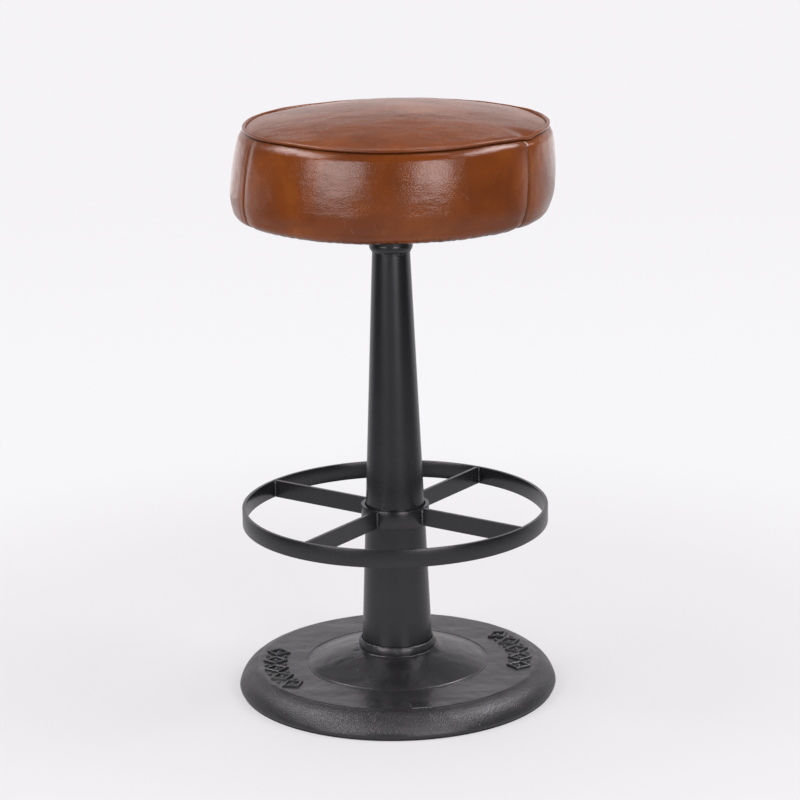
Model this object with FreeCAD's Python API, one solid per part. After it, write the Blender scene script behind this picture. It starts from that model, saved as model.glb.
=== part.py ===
import FreeCAD, Part

import math
import os

# A round leather stool on a cast pedestal, in millimetres.
# The origin is on the floor under the middle of the base, and +Z is up.
# The front, where a sitter's knees are, faces -Y.

# Base casting
BASE_RADIUS = 181.8
BASE_FOOT_INSET = 1.4
BASE_TOP = 28.4
BASE_WALL = 8.0
BASE_EDGE_HEIGHT = 3.0
SHOULDER_RADIUS = 161.0
SHOULDER_BULGE = 4.2
SHOULDER_INSET = 8.5
GROOVE_WIDTH = 2.6
GROOVE_DEPTH = 1.3
DOME_RADIUS = 101.0
DOME_TOP_RADIUS = 43.4
DOME_RISE = 18.4
DOME_BULGE = 1.8
DOME_STEP = 0.9
RING_LINE_GAP = 3.4
RING_LINE_DEPTH = 0.5
HUB_LIP_HEIGHT = 10.6
HUB_LIP_WALL = 2.0
HUB_LIP_BULGE = 1.1
SOCKET_DEPTH = 12.6
BOSS_RADIUS = 34.0
BOSS_FLOOR = 14.0
BOSS_HEIGHT = 8.0
BOSS_FILLET = 8.0
BOSS_FILLET_BULGE = 2.4

# Rubber ring under the casting
FLOOR_RING_INSET = 0.8
FLOOR_RING_WIDTH = 8.0
FLOOR_RING_HEIGHT = 2.0

# Tapered column
COLUMN_FOOT_RADIUS = 40.3
COLUMN_TOP_RADIUS = 21.1
COLUMN_TOP = 510.0
COLUMN_WALL = 3.0
SOCKET_CLEARANCE = 0.15

# Bolt that holds the column down
PLUG_HEIGHT = 14.0
PLUG_CLEARANCE = 0.1
BOLT_RADIUS = 6.0
BOLT_HOLE_CLEARANCE = 0.75
THREAD_CLEARANCE = 0.05
BOLT_HEAD_FLATS = 18.0
BOLT_HEAD_HEIGHT = 7.5
BOLT_TIP_GAP = 2.0
BASE_WASHER_RADIUS = 15.0
BASE_WASHER_HEIGHT = 2.5

# Bearing tube, housing and bushes at the column's top
BEARING_TUBE_CLEARANCE = 0.2
BEARING_TUBE_WALL = 2.2
BEARING_TUBE_LENGTH = 114.0
CENTRING_RING_HEIGHT = 12.0
CENTRING_RING_LIFT = 4.0
HOUSING_RADIUS = 24.3
HOUSING_HEIGHT = 21.2
HOUSING_LIP_RADIUS = 22.2
HOUSING_LIP_HEIGHT = 8.0
HOUSING_LIP_BULGE = 0.9
HOUSING_CHAMFER = 1.0
HOUSING_CLEARANCE = 0.1
WELD_RADIUS = 1.9
BUSH_LENGTH = 28.0
BUSH_CLEARANCE = 0.02
RUNNING_CLEARANCE = 0.05

# Thrust bearing between pedestal and seat
RACE_RADIUS = 23.0
RACE_HEIGHT = 2.5
BALL_RADIUS = 2.5
BALL_COUNT = 16
CAGE_HEIGHT = 2.4
CAGE_MARGIN = 1.6
BALL_POCKET_CLEARANCE = 0.2

# Spindle under the seat
SPINDLE_RADIUS = 12.0
SPINDLE_FLANGE_RADIUS = 30.0
SPINDLE_FLANGE_HEIGHT = 6.0
SPINDLE_TAIL_RADIUS = 8.0
SPINDLE_TAIL_LENGTH = 16.0
SPINDLE_END_GAP = 0.3
RETAINING_WASHER_RADIUS = 17.0
RETAINING_WASHER_HEIGHT = 2.5
RETAINING_NUT_FLATS = 24.0
RETAINING_NUT_HEIGHT = 10.0
SPINDLE_WELD_RADIUS = 2.2

# Foot ring of flat bar
FOOT_RING_TOP = 217.0
FOOT_RING_RADIUS = 173.25
FLAT_BAR_HEIGHT = 20.0
FLAT_BAR_WALL = 4.0
COLLAR_WALL = 4.2
COLLAR_CLEARANCE = 0.3
SPOKE_COUNT = 4
FIRST_SPOKE_AZIMUTH = -35.0
FOOT_WELD_RADIUS = 2.4
GRUB_SCREW_RADIUS = 3.0
GRUB_SCREW_AZIMUTHS = (80.0, 120.0)
GRUB_HEX_FLATS = 3.0
GRUB_HEX_DEPTH = 2.2

# Seat plate, board and fixings
SEAT_PLATE_RADIUS = 80.0
SEAT_PLATE_HEIGHT = 5.0
SEAT_BOARD_INSET = 16.2
SEAT_BOARD_HEIGHT = 15.0
SEAT_SCREW_COUNT = 4
SEAT_SCREW_CIRCLE = 62.0
SEAT_SCREW_RADIUS = 3.0
SEAT_SCREW_HOLE_CLEARANCE = 0.3
SEAT_SCREW_HEAD_FLATS = 10.0
SEAT_SCREW_HEAD_HEIGHT = 4.0
TEE_NUT_BARREL_RADIUS = 4.2
TEE_NUT_BARREL_LENGTH = 9.0
TEE_NUT_FLANGE_RADIUS = 9.5
TEE_NUT_FLANGE_HEIGHT = 1.5
TEE_NUT_CLEARANCE = 0.1

# Upholstery
SIDE_HEIGHT = 100.2
PIPING_CIRCLE_RADIUS = 166.6
PIPING_RADIUS = 2.0
PIPING_CLEARANCE = 0.3
CROWN_RISE = 19.0
UPPER_TURN_REACH = 6.1
UPPER_TURN_DROP = 11.0
UPPER_TURN_BULGE = 1.4
UPPER_SIDE_BULGE = 1.5
BULGE_RADIUS = 178.6
BULGE_LIFT = 35.2
LOWER_SIDE_RADIUS = 175.2
LOWER_SIDE_LIFT = 12.2
LOWER_SIDE_BULGE = 1.3
LOWER_TURN_INSET = 10.3
LOWER_TURN_BULGE = 2.2
LEATHER_THICKNESS = 1.4
FOAM_CLEARANCE = 0.3
HEM_WIDTH = 30.0
SEAM_AZIMUTHS = (-154.3, -35.7, 84.9)
SEAM_GAP = 0.4
DUST_COVER_THICKNESS = 1.0
DUST_COVER_INSET = 12.0
DUST_COVER_PLATE_GAP = 2.0
STAPLE_COUNT = 24
STAPLE_INSET = 7.0
STAPLE_WIDTH = 10.0
STAPLE_WIRE = 1.0

# Levels worked out from the sizes above, from the floor up
BASE_UNDERSIDE = FLOOR_RING_HEIGHT
BASE_FOOT_RADIUS = BASE_RADIUS - BASE_FOOT_INSET
DOME_TOP = BASE_TOP + DOME_RISE
HUB_TOP = DOME_TOP + HUB_LIP_HEIGHT
COLUMN_FOOT = HUB_TOP - SOCKET_DEPTH
HOUSING_FOOT = COLUMN_TOP
HOUSING_TOP = HOUSING_FOOT + HOUSING_HEIGHT
BEARING_TUBE_RADIUS = COLUMN_TOP_RADIUS - COLUMN_WALL - BEARING_TUBE_CLEARANCE
BEARING_TUBE_BORE = BEARING_TUBE_RADIUS - BEARING_TUBE_WALL
BEARING_TUBE_FOOT = HOUSING_TOP - BEARING_TUBE_LENGTH
SPINDLE_BORE = SPINDLE_RADIUS + RUNNING_CLEARANCE
BALL_LEVEL = HOUSING_TOP + RACE_HEIGHT + BALL_RADIUS
UPPER_RACE_FOOT = BALL_LEVEL + BALL_RADIUS
FLANGE_UNDERSIDE = UPPER_RACE_FOOT + RACE_HEIGHT
PLATE_UNDERSIDE = FLANGE_UNDERSIDE + SPINDLE_FLANGE_HEIGHT
BOARD_UNDERSIDE = PLATE_UNDERSIDE + SEAT_PLATE_HEIGHT
BOARD_TOP = BOARD_UNDERSIDE + SEAT_BOARD_HEIGHT
HEM_UNDERSIDE = BOARD_UNDERSIDE - LEATHER_THICKNESS
SEAT_UNDERSIDE = HEM_UNDERSIDE - DUST_COVER_THICKNESS
LOWER_SIDE_HEIGHT = HEM_UNDERSIDE + LOWER_SIDE_LIFT
BULGE_HEIGHT = HEM_UNDERSIDE + BULGE_LIFT
PIPING_HEIGHT = HEM_UNDERSIDE + SIDE_HEIGHT
UPPER_TURN_RADIUS = PIPING_CIRCLE_RADIUS + UPPER_TURN_REACH
UPPER_TURN_HEIGHT = PIPING_HEIGHT - UPPER_TURN_DROP
LOWER_TURN_RADIUS = LOWER_SIDE_RADIUS - LOWER_TURN_INSET
SEAT_BOARD_RADIUS = LOWER_SIDE_RADIUS - SEAT_BOARD_INSET
DUST_COVER_RADIUS = SEAT_BOARD_RADIUS - DUST_COVER_INSET
STAPLE_CIRCLE = DUST_COVER_RADIUS - STAPLE_INSET
FOOT_RING_UNDERSIDE = FOOT_RING_TOP - FLAT_BAR_HEIGHT
UP = FreeCAD.Vector(0, 0, 1)
AXIS_FOOT = FreeCAD.Vector(0, 0, 0)


def column_radius(height):
    """Outside radius of the tapered column at a height above the floor."""
    share = (height - COLUMN_FOOT) / (COLUMN_TOP - COLUMN_FOOT)
    return COLUMN_FOOT_RADIUS + share * (COLUMN_TOP_RADIUS - COLUMN_FOOT_RADIUS)


def point(radius, height):
    """A point of a turned outline."""
    return FreeCAD.Vector(radius, 0, height)


def place(radius, azimuth, height):
    """A point given by its distance from the axis, its bearing and its height."""
    angle = math.radians(azimuth)
    return FreeCAD.Vector(radius * math.cos(angle), radius * math.sin(angle), height)


class Outline:
    """A turned outline made of lines and arcs, in the half plane right of the axis."""

    def __init__(self, radius, height):
        self.start = point(radius, height)
        self.here = self.start
        self.edges = []

    def line(self, radius, height):
        there = point(radius, height)
        self.edges.append(Part.makeLine(self.here, there))
        self.here = there
        return self

    def bulge(self, radius, height, rise):
        """An arc to a point, standing off its chord by rise, to the left of the way it runs."""
        there = point(radius, height)
        chord = there - self.here
        left = FreeCAD.Vector(-chord.z, 0, chord.x).normalize()
        middle = (self.here + there) * 0.5 + left * rise
        self.edges.append(Part.Arc(self.here, middle, there).toShape())
        self.here = there
        return self

    def face(self):
        if self.here.distanceToPoint(self.start) > 1e-6:
            self.line(self.start.x, self.start.z)
        return Part.Face(Part.Wire(self.edges))

    def turned(self):
        return self.face().revolve(AXIS_FOOT, UP, 360)


def ring(outer, inner, foot, top):
    """A plain turned ring, washer or sleeve."""
    return Outline(inner, foot).line(outer, foot).line(outer, top).line(inner, top).turned()


def disc(radius, foot, top):
    return Part.makeCylinder(radius, top - foot, point(0, foot))


def torus(circle_radius, wire_radius, height):
    return Part.makeTorus(circle_radius, wire_radius, point(0, height))


def hexagon(flats, foot, top, centre=AXIS_FOOT):
    """A hexagonal prism, given by its width across the flats."""
    corner = flats / math.sqrt(3)
    corners = [centre + place(corner, 60 * k, foot) for k in range(7)]
    return Part.Face(Part.makePolygon(corners)).extrude(UP * (top - foot))


def around(shape, azimuths):
    """One compound of copies of a shape, turned about the axis to each azimuth."""
    copies = []
    for azimuth in azimuths:
        copy = shape.copy()
        copy.rotate(AXIS_FOOT, UP, azimuth)
        copies.append(copy)
    return Part.makeCompound(copies)


def evenly(count, first=0.0):
    return [first + 360.0 * k / count for k in range(count)]


def base_casting():
    """Cast base: rounded shoulder, flat annulus, low dome and hub lip, hollow below."""
    groove_inner = SHOULDER_RADIUS - GROOVE_WIDTH
    line_outer = DOME_RADIUS + RING_LINE_GAP
    line_inner = line_outer - 2 * RING_LINE_DEPTH
    lip_inner = column_radius(HUB_TOP) + SOCKET_CLEARANCE
    lip_outer = lip_inner + HUB_LIP_WALL
    socket_radius = COLUMN_FOOT_RADIUS + SOCKET_CLEARANCE
    ceiling = BASE_TOP - BASE_WALL
    dome_ceiling = BOSS_FLOOR + BOSS_HEIGHT + BOSS_FILLET
    inner_shoulder = SHOULDER_RADIUS - BASE_WALL
    outline = Outline(BASE_FOOT_RADIUS, BASE_UNDERSIDE)
    outline.line(BASE_RADIUS, BASE_UNDERSIDE + BASE_EDGE_HEIGHT)
    outline.bulge(SHOULDER_RADIUS, BASE_TOP - 0.5 * GROOVE_DEPTH, -SHOULDER_BULGE)
    outline.bulge(groove_inner, BASE_TOP, GROOVE_DEPTH)
    outline.line(line_outer, BASE_TOP)
    outline.bulge(line_inner, BASE_TOP, RING_LINE_DEPTH)
    outline.line(DOME_RADIUS, BASE_TOP)
    outline.line(DOME_RADIUS - DOME_STEP, BASE_TOP + DOME_STEP)
    outline.bulge(DOME_TOP_RADIUS, DOME_TOP, -DOME_BULGE)
    outline.bulge(lip_outer, HUB_TOP, -HUB_LIP_BULGE)
    outline.line(lip_inner, HUB_TOP)
    outline.line(socket_radius, COLUMN_FOOT)
    outline.line(BOLT_RADIUS + BOLT_HOLE_CLEARANCE, COLUMN_FOOT)
    outline.line(BOLT_RADIUS + BOLT_HOLE_CLEARANCE, BOSS_FLOOR)
    outline.line(BOSS_RADIUS, BOSS_FLOOR)
    outline.line(BOSS_RADIUS, BOSS_FLOOR + BOSS_HEIGHT)
    outline.bulge(BOSS_RADIUS + BOSS_FILLET, dome_ceiling, BOSS_FILLET_BULGE)
    outline.bulge(DOME_RADIUS - BASE_WALL, ceiling, DOME_BULGE)
    outline.line(inner_shoulder, ceiling)
    outline.bulge(BASE_FOOT_RADIUS - SHOULDER_INSET, BASE_UNDERSIDE, SHOULDER_BULGE)
    return outline.turned()


def floor_ring():
    outer = BASE_FOOT_RADIUS - FLOOR_RING_INSET
    return ring(outer, outer - FLOOR_RING_WIDTH, 0, FLOOR_RING_HEIGHT)


def column_tube():
    """Tapered tube from the base socket to the swivel housing."""
    outline = Outline(COLUMN_FOOT_RADIUS - COLUMN_WALL, COLUMN_FOOT)
    outline.line(COLUMN_FOOT_RADIUS, COLUMN_FOOT)
    outline.line(COLUMN_TOP_RADIUS, COLUMN_TOP)
    outline.line(COLUMN_TOP_RADIUS - COLUMN_WALL, COLUMN_TOP)
    return outline.turned()


def inside_column(height, clearance):
    """Radius of a piece that fits in the column's bore at a height."""
    return column_radius(height) - COLUMN_WALL - clearance


def column_plug():
    """Tapped plug welded into the column's foot, which the base bolt pulls down."""
    top = COLUMN_FOOT + PLUG_HEIGHT
    bore = BOLT_RADIUS + THREAD_CLEARANCE
    outline = Outline(bore, COLUMN_FOOT)
    outline.line(inside_column(COLUMN_FOOT, PLUG_CLEARANCE), COLUMN_FOOT)
    outline.line(inside_column(top, PLUG_CLEARANCE), top)
    outline.line(bore, top)
    return outline.turned()


def base_washer():
    hole = BOLT_RADIUS + BOLT_HOLE_CLEARANCE
    return ring(BASE_WASHER_RADIUS, hole, BOSS_FLOOR - BASE_WASHER_HEIGHT, BOSS_FLOOR)


def base_bolt():
    head_top = BOSS_FLOOR - BASE_WASHER_HEIGHT
    tip = COLUMN_FOOT + PLUG_HEIGHT - BOLT_TIP_GAP
    head = hexagon(BOLT_HEAD_FLATS, head_top - BOLT_HEAD_HEIGHT, head_top)
    return head.fuse(disc(BOLT_RADIUS, head_top, tip)).removeSplitter()


def bearing_tube():
    return ring(BEARING_TUBE_RADIUS, BEARING_TUBE_BORE, BEARING_TUBE_FOOT, HOUSING_TOP)


def centring_ring():
    """Ring that holds the bearing tube's lower end in the middle of the column."""
    foot = BEARING_TUBE_FOOT + CENTRING_RING_LIFT
    top = foot + CENTRING_RING_HEIGHT
    bore = BEARING_TUBE_RADIUS + HOUSING_CLEARANCE
    outline = Outline(bore, foot)
    outline.line(inside_column(foot, PLUG_CLEARANCE), foot)
    outline.line(inside_column(top, PLUG_CLEARANCE), top)
    outline.line(bore, top)
    return outline.turned()


def swivel_housing():
    """Collar on the column's top end, with a rounded lip and a chamfered rim."""
    bore = BEARING_TUBE_RADIUS + HOUSING_CLEARANCE
    outline = Outline(bore, HOUSING_FOOT)
    outline.line(HOUSING_LIP_RADIUS, HOUSING_FOOT)
    lip_top = HOUSING_FOOT + HOUSING_LIP_HEIGHT
    outline.bulge(HOUSING_RADIUS, lip_top, -HOUSING_LIP_BULGE)
    outline.line(HOUSING_RADIUS, HOUSING_TOP - HOUSING_CHAMFER)
    outline.line(HOUSING_RADIUS - HOUSING_CHAMFER, HOUSING_TOP)
    outline.line(bore, HOUSING_TOP)
    return outline.turned()


def housing_weld(housing, column):
    """Weld bead that joins the housing's lip to the column."""
    bead = torus(COLUMN_TOP_RADIUS, WELD_RADIUS, HOUSING_FOOT)
    bore = disc(COLUMN_TOP_RADIUS - 0.5 * COLUMN_WALL, BEARING_TUBE_FOOT, HOUSING_TOP)
    return bead.cut([column, housing, bore])


def bush(foot):
    outer = BEARING_TUBE_BORE - BUSH_CLEARANCE
    return ring(outer, SPINDLE_BORE, foot, foot + BUSH_LENGTH)


def race(foot):
    return ring(RACE_RADIUS, SPINDLE_BORE + BALL_RADIUS, foot, foot + RACE_HEIGHT)


def ball_circle():
    return 0.5 * (RACE_RADIUS + SPINDLE_BORE + BALL_RADIUS)


def ball_cage():
    """Flat cage with a pocket for each ball."""
    reach = BALL_RADIUS + CAGE_MARGIN
    middle = ball_circle()
    foot = BALL_LEVEL - 0.5 * CAGE_HEIGHT
    cage = ring(middle + reach, middle - reach, foot, foot + CAGE_HEIGHT)
    pocket_radius = BALL_RADIUS + BALL_POCKET_CLEARANCE
    pocket = Part.makeCylinder(pocket_radius, CAGE_HEIGHT, point(middle, foot))
    return cage.cut(around(pocket, evenly(BALL_COUNT)))


def thrust_balls():
    ball = Part.makeSphere(BALL_RADIUS - RUNNING_CLEARANCE, point(ball_circle(), BALL_LEVEL))
    return around(ball, evenly(BALL_COUNT))


def spindle():
    """Flanged spindle: it turns in the bushes and its tail takes the retaining nut."""
    shoulder = BEARING_TUBE_FOOT - SPINDLE_END_GAP
    outline = Outline(0, PLATE_UNDERSIDE)
    outline.line(0, shoulder - SPINDLE_TAIL_LENGTH)
    outline.line(SPINDLE_TAIL_RADIUS, shoulder - SPINDLE_TAIL_LENGTH)
    outline.line(SPINDLE_TAIL_RADIUS, shoulder)
    outline.line(SPINDLE_RADIUS, shoulder)
    outline.line(SPINDLE_RADIUS, FLANGE_UNDERSIDE)
    outline.line(SPINDLE_FLANGE_RADIUS, FLANGE_UNDERSIDE)
    outline.line(SPINDLE_FLANGE_RADIUS, PLATE_UNDERSIDE)
    return outline.turned()


def retaining_washer():
    top = BEARING_TUBE_FOOT - SPINDLE_END_GAP
    bore = SPINDLE_TAIL_RADIUS + THREAD_CLEARANCE
    return ring(RETAINING_WASHER_RADIUS, bore, top - RETAINING_WASHER_HEIGHT, top)


def retaining_nut():
    top = BEARING_TUBE_FOOT - SPINDLE_END_GAP - RETAINING_WASHER_HEIGHT
    foot = top - RETAINING_NUT_HEIGHT
    bore = disc(SPINDLE_TAIL_RADIUS + THREAD_CLEARANCE, foot, top)
    return hexagon(RETAINING_NUT_FLATS, foot, top).cut(bore)


def spindle_weld(plate, flange):
    """Fillet weld all round the spindle's flange, under the seat plate."""
    bead = torus(SPINDLE_FLANGE_RADIUS, SPINDLE_WELD_RADIUS, PLATE_UNDERSIDE)
    return bead.cut([plate, flange])


def collar_bore():
    return column_radius(FOOT_RING_UNDERSIDE) + COLLAR_CLEARANCE


def foot_collar(grub_holes):
    bore = collar_bore()
    sleeve = ring(bore + COLLAR_WALL, bore, FOOT_RING_UNDERSIDE, FOOT_RING_TOP)
    return sleeve.cut(grub_holes)


def foot_hoop():
    inner = FOOT_RING_RADIUS - FLAT_BAR_WALL
    return ring(FOOT_RING_RADIUS, inner, FOOT_RING_UNDERSIDE, FOOT_RING_TOP)


def spoke(azimuth):
    """Flat bar on edge from collar to hoop, its ends coped to both."""
    inner = collar_bore() + COLLAR_WALL
    outer = FOOT_RING_RADIUS - FLAT_BAR_WALL
    corner = FreeCAD.Vector(0, -0.5 * FLAT_BAR_WALL, FOOT_RING_UNDERSIDE)
    bar = Part.makeBox(outer + FLAT_BAR_WALL, FLAT_BAR_WALL, FLAT_BAR_HEIGHT, corner)
    span = ring(outer, inner, FOOT_RING_UNDERSIDE, FOOT_RING_TOP)
    bar = bar.common(span)
    bar.rotate(AXIS_FOOT, UP, azimuth)
    return bar


def foot_welds():
    """Upright weld beads in the corners where a spoke meets the collar and the hoop."""
    inner = collar_bore() + COLLAR_WALL
    outer = FOOT_RING_RADIUS - FLAT_BAR_WALL
    span = ring(outer, inner, FOOT_RING_UNDERSIDE, FOOT_RING_TOP)
    beads = []
    for radius in (inner, outer):
        for side in (-1, 1):
            half_wall = 0.5 * FLAT_BAR_WALL
            along = math.sqrt(radius * radius - half_wall * half_wall)
            centre = FreeCAD.Vector(along, side * half_wall, FOOT_RING_UNDERSIDE)
            rod = Part.makeCylinder(FOOT_WELD_RADIUS, FLAT_BAR_HEIGHT, centre)
            beads.append(rod.common(span).cut(spoke(0)))
    return around(Part.makeCompound(beads), evenly(SPOKE_COUNT, FIRST_SPOKE_AZIMUTH))


def grub_pieces():
    """The two grub screws that lock the collar on the column, and the holes they fill."""
    head = collar_bore() + COLLAR_WALL
    level = 0.5 * (FOOT_RING_UNDERSIDE + FOOT_RING_TOP)
    tip = column_radius(level - GRUB_SCREW_RADIUS)
    outwards = FreeCAD.Vector(1, 0, 0)
    screw = Part.makeCylinder(GRUB_SCREW_RADIUS, head - tip, point(tip, level), outwards)
    socket = hexagon(GRUB_HEX_FLATS, 0, GRUB_HEX_DEPTH)
    socket.rotate(AXIS_FOOT, FreeCAD.Vector(0, 1, 0), -90)
    socket.translate(point(head, level))
    screw = screw.cut(socket)
    hole_radius = GRUB_SCREW_RADIUS + THREAD_CLEARANCE
    hole = Part.makeCylinder(hole_radius, head, point(0, level), outwards)
    return around(screw, GRUB_SCREW_AZIMUTHS), around(hole, GRUB_SCREW_AZIMUTHS)


def seat_screw_azimuths():
    return evenly(SEAT_SCREW_COUNT, 180.0 / SEAT_SCREW_COUNT)


def seat_plate():
    """Round steel plate under the board, drilled for its four screws."""
    plate = disc(SEAT_PLATE_RADIUS, PLATE_UNDERSIDE, BOARD_UNDERSIDE)
    hole_radius = SEAT_SCREW_RADIUS + SEAT_SCREW_HOLE_CLEARANCE
    start = point(SEAT_SCREW_CIRCLE, PLATE_UNDERSIDE)
    hole = Part.makeCylinder(hole_radius, SEAT_PLATE_HEIGHT, start)
    return plate.cut(around(hole, seat_screw_azimuths()))


def seat_screws():
    centre = FreeCAD.Vector(SEAT_SCREW_CIRCLE, 0, 0)
    head_foot = PLATE_UNDERSIDE - SEAT_SCREW_HEAD_HEIGHT
    head = hexagon(SEAT_SCREW_HEAD_FLATS, head_foot, PLATE_UNDERSIDE, centre)
    length = BOARD_TOP - PLATE_UNDERSIDE
    start = point(SEAT_SCREW_CIRCLE, PLATE_UNDERSIDE)
    shank = Part.makeCylinder(SEAT_SCREW_RADIUS, length, start)
    screw = head.fuse(shank).removeSplitter()
    return around(screw, seat_screw_azimuths())


def tee_nut_solid(clearance, bored):
    """A tee nut let into the board's top, or the recess for it when clearance is added."""
    barrel_foot = BOARD_TOP - TEE_NUT_BARREL_LENGTH - clearance
    start = point(SEAT_SCREW_CIRCLE, barrel_foot)
    length = BOARD_TOP - barrel_foot
    barrel = Part.makeCylinder(TEE_NUT_BARREL_RADIUS + clearance, length, start)
    flange_foot = point(SEAT_SCREW_CIRCLE, BOARD_TOP - TEE_NUT_FLANGE_HEIGHT)
    flange_radius = TEE_NUT_FLANGE_RADIUS + clearance
    flange = Part.makeCylinder(flange_radius, TEE_NUT_FLANGE_HEIGHT, flange_foot)
    nut = barrel.fuse(flange).removeSplitter()
    if bored:
        bore_radius = SEAT_SCREW_RADIUS + THREAD_CLEARANCE
        nut = nut.cut(Part.makeCylinder(bore_radius, length, start))
    return nut


def tee_nuts():
    return around(tee_nut_solid(0, True), seat_screw_azimuths())


def seat_board():
    """Plywood board that the foam is glued to, drilled and counterbored for the tee nuts."""
    board = disc(SEAT_BOARD_RADIUS, BOARD_UNDERSIDE, BOARD_TOP)
    hole_radius = SEAT_SCREW_RADIUS + SEAT_SCREW_HOLE_CLEARANCE
    start = point(SEAT_SCREW_CIRCLE, BOARD_UNDERSIDE)
    hole = Part.makeCylinder(hole_radius, SEAT_BOARD_HEIGHT, start)
    recess = tee_nut_solid(TEE_NUT_CLEARANCE, False)
    board = board.cut(around(hole, seat_screw_azimuths()))
    return board.cut(around(recess, seat_screw_azimuths()))


def crown_height(radius):
    """Height of the crowned top above the piping's level, which is part of a sphere."""
    sphere = (PIPING_CIRCLE_RADIUS**2 + CROWN_RISE**2) / (2 * CROWN_RISE)
    return CROWN_RISE - sphere + math.sqrt(sphere**2 - radius**2)


def upholstery_outline(inset):
    """The cushion's outside, brought in by inset: crown, bulged side and turned-under edge."""
    rim_radius = PIPING_CIRCLE_RADIUS - inset
    rim_height = PIPING_HEIGHT + crown_height(rim_radius) - inset
    underside = HEM_UNDERSIDE + inset
    outline = Outline(0, underside)
    outline.line(LOWER_TURN_RADIUS - inset, underside)
    outline.bulge(LOWER_SIDE_RADIUS - inset, LOWER_SIDE_HEIGHT, -LOWER_TURN_BULGE)
    outline.bulge(BULGE_RADIUS - inset, BULGE_HEIGHT, -LOWER_SIDE_BULGE)
    outline.bulge(UPPER_TURN_RADIUS - inset, UPPER_TURN_HEIGHT, -UPPER_SIDE_BULGE)
    outline.bulge(rim_radius, rim_height, -UPPER_TURN_BULGE)
    half_radius = 0.5 * rim_radius
    half = point(half_radius, PIPING_HEIGHT + crown_height(half_radius) - inset)
    peak = point(0, PIPING_HEIGHT + CROWN_RISE - inset)
    outline.edges.append(Part.Arc(outline.here, half, peak).toShape())
    outline.here = peak
    return outline


def upholstery(inset):
    return upholstery_outline(inset).turned()


def seat_foam():
    """Foam block with a crown, bulged sides and a pocket below for the board."""
    foam = upholstery(LEATHER_THICKNESS + FOAM_CLEARANCE)
    pocket_radius = SEAT_BOARD_RADIUS + FOAM_CLEARANCE
    return foam.cut(disc(pocket_radius, SEAT_UNDERSIDE, BOARD_TOP))


def leather_skin():
    """The whole leather cover with an open middle below, before it is cut into panels."""
    skin = upholstery(0).cut(upholstery(LEATHER_THICKNESS))
    opening = SEAT_BOARD_RADIUS - HEM_WIDTH
    return skin.cut(disc(opening, SEAT_UNDERSIDE, BOARD_TOP))


def piping_groove():
    return torus(PIPING_CIRCLE_RADIUS, PIPING_RADIUS + PIPING_CLEARANCE, PIPING_HEIGHT)


def top_panel(skin):
    """Round top panel, crowned, inside the piping."""
    above = disc(PIPING_CIRCLE_RADIUS, BOARD_TOP, PIPING_HEIGHT + 2 * CROWN_RISE)
    pieces = skin.cut(piping_groove()).common(above)
    return max(pieces.Solids, key=lambda solid: solid.BoundBox.ZMax)


def side_panel(skin, first, last):
    """One side panel between two seams, with its hem turned under the board."""
    reach = 2 * BULGE_RADIUS
    sweep = (last - first) % 360.0
    sector = Part.makeCylinder(reach, reach, point(0, SEAT_UNDERSIDE), UP, sweep)
    sector.rotate(AXIS_FOOT, UP, first)
    band = skin.cut(piping_groove()).common(sector)
    band = min(band.Solids, key=lambda solid: solid.BoundBox.ZMin)
    return band.cut(Part.makeCompound([seam_slot(first), seam_slot(last)]))


def seam_slot(azimuth):
    """Thin upright slot that parts two neighbouring side panels at a seam."""
    corner = FreeCAD.Vector(0, -0.5 * SEAM_GAP, SEAT_UNDERSIDE)
    slot = Part.makeBox(2 * BULGE_RADIUS, SEAM_GAP, PIPING_HEIGHT, corner)
    slot.rotate(AXIS_FOOT, UP, azimuth)
    return slot


def seat_piping():
    return torus(PIPING_CIRCLE_RADIUS, PIPING_RADIUS, PIPING_HEIGHT)


def dust_cover():
    """Cloth disc stapled over the hem, open in the middle for the seat plate."""
    inner = SEAT_PLATE_RADIUS + DUST_COVER_PLATE_GAP
    return ring(DUST_COVER_RADIUS, inner, SEAT_UNDERSIDE, HEM_UNDERSIDE)


def staple():
    """One staple at azimuth 0: a crown under the cloth and two legs."""
    half = 0.5 * STAPLE_WIDTH
    corner = FreeCAD.Vector(STAPLE_CIRCLE, -half, SEAT_UNDERSIDE - STAPLE_WIRE)
    return Part.makeBox(STAPLE_WIRE, STAPLE_WIDTH, STAPLE_WIRE, corner)


def staples():
    return around(staple(), evenly(STAPLE_COUNT, 360.0 / STAPLE_COUNT / 2))


def pedestal_pieces():
    column = column_tube()
    housing = swivel_housing()
    grub_screws, grub_holes = grub_pieces()
    lower_bush_foot = BEARING_TUBE_FOOT + CENTRING_RING_LIFT
    pieces = {
        "base_casting": base_casting(),
        "base_floor_ring": floor_ring(),
        "column_tube": column,
        "column_foot_plug": column_plug(),
        "base_bolt": base_bolt(),
        "base_washer": base_washer(),
        "bearing_tube": bearing_tube(),
        "centring_ring": centring_ring(),
        "swivel_housing": housing,
        "housing_weld": housing_weld(housing, column),
        "upper_bush": bush(HOUSING_TOP - BUSH_LENGTH),
        "lower_bush": bush(lower_bush_foot),
        "lower_race": race(HOUSING_TOP),
        "ball_cage": ball_cage(),
        "thrust_balls": thrust_balls(),
        "foot_collar": foot_collar(grub_holes),
        "foot_hoop": foot_hoop(),
        "foot_welds": foot_welds(),
        "foot_grub_screws": grub_screws,
    }
    for number, azimuth in enumerate(evenly(SPOKE_COUNT, FIRST_SPOKE_AZIMUTH), 1):
        pieces[f"foot_spoke_{number}"] = spoke(azimuth)
    return pieces


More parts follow.
